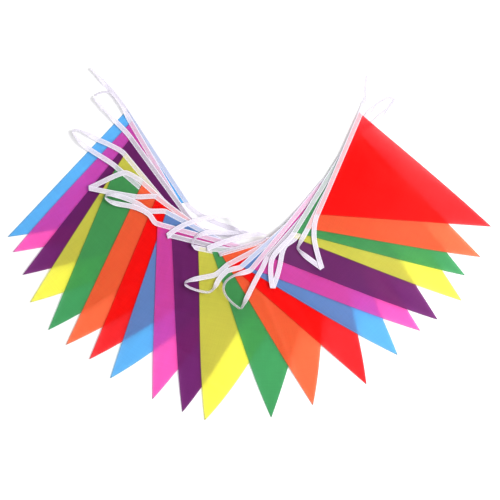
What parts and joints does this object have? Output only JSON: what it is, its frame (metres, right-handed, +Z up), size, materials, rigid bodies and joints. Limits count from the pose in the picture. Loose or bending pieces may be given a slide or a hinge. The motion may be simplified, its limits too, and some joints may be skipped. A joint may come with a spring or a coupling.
{
  "type": "fabric bunting",
  "caption": "String of triangular cloth pennants on a folded white tape, gathered to and fro into a fan and lying flat; hung up, it decorates a room or garden.",
  "frame": {"origin": "middle of the bounding box, on the surface that the bunting lies on", "axes": "+X across the fan to the right, +Y from the pennants' tips towards the tape, +Z up from the surface"},
  "size_m": [0.8742, 0.6377, 0.0321],
  "materials": {
    "blue": "thin woven satin, sky blue",
    "pink": "thin woven satin, bright pink",
    "purple": "thin woven satin, deep purple",
    "yellow": "thin woven satin, lemon yellow",
    "green": "thin woven satin, mid green",
    "orange": "thin woven satin, orange",
    "red": "thin woven satin, bright red",
    "white_tape": "woven tape, white"
  },
  "bodies": {
    "root": {"pennant_01_blue": "blue", "pennant_02_pink": "pink", "pennant_03_purple": "purple", "pennant_04_yellow": "yellow", "pennant_05_green": "green", "pennant_06_orange": "orange", "pennant_07_red": "red", "pennant_08_blue": "blue", "pennant_09_pink": "pink", "pennant_10_purple": "purple", "pennant_11_yellow": "yellow", "pennant_12_green": "green", "pennant_13_orange": "orange", "pennant_14_red": "red", "pennant_15_blue": "blue", "pennant_16_pink": "pink", "pennant_17_purple": "purple", "pennant_18_yellow": "yellow", "pennant_19_green": "green", "pennant_20_orange": "orange", "pennant_21_red": "red", "tape": "white_tape"}
  },
  "joints": []
}
